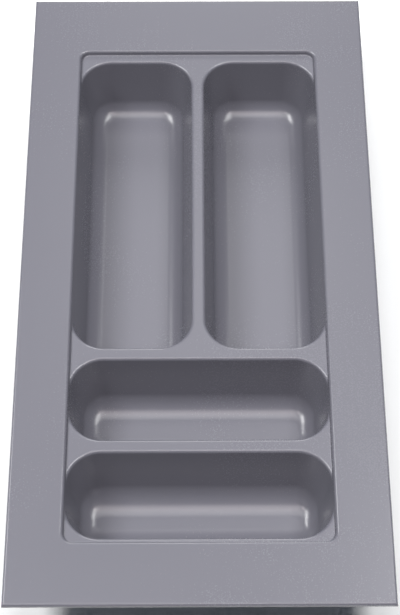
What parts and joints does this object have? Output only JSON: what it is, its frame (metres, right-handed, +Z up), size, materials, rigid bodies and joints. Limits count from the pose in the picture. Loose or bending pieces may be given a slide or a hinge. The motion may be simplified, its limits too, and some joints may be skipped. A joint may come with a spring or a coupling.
{
  "type": "cutlery tray",
  "caption": "Formed drawer insert for cutlery with a wide plain flange to trim, a shallow sunken deck, long compartments side by side and cross compartments in front.",
  "frame": {"origin": "centre of the untrimmed outline at the height of the compartments' resting undersides", "axes": "+X across the tray to its right, +Y along its length toward the long compartments, +Z up out of the compartments"},
  "size_m": [0.266, 0.52, 0.058],
  "materials": {
    "formed_sheet": "satin silver grey, fine even grain"
  },
  "bodies": {
    "root": {"trim_flange": "formed_sheet", "sunken_deck": "formed_sheet", "left_long_bowl": "formed_sheet", "right_long_bowl": "formed_sheet", "middle_cross_bowl": "formed_sheet", "front_cross_bowl": "formed_sheet"}
  },
  "joints": []
}
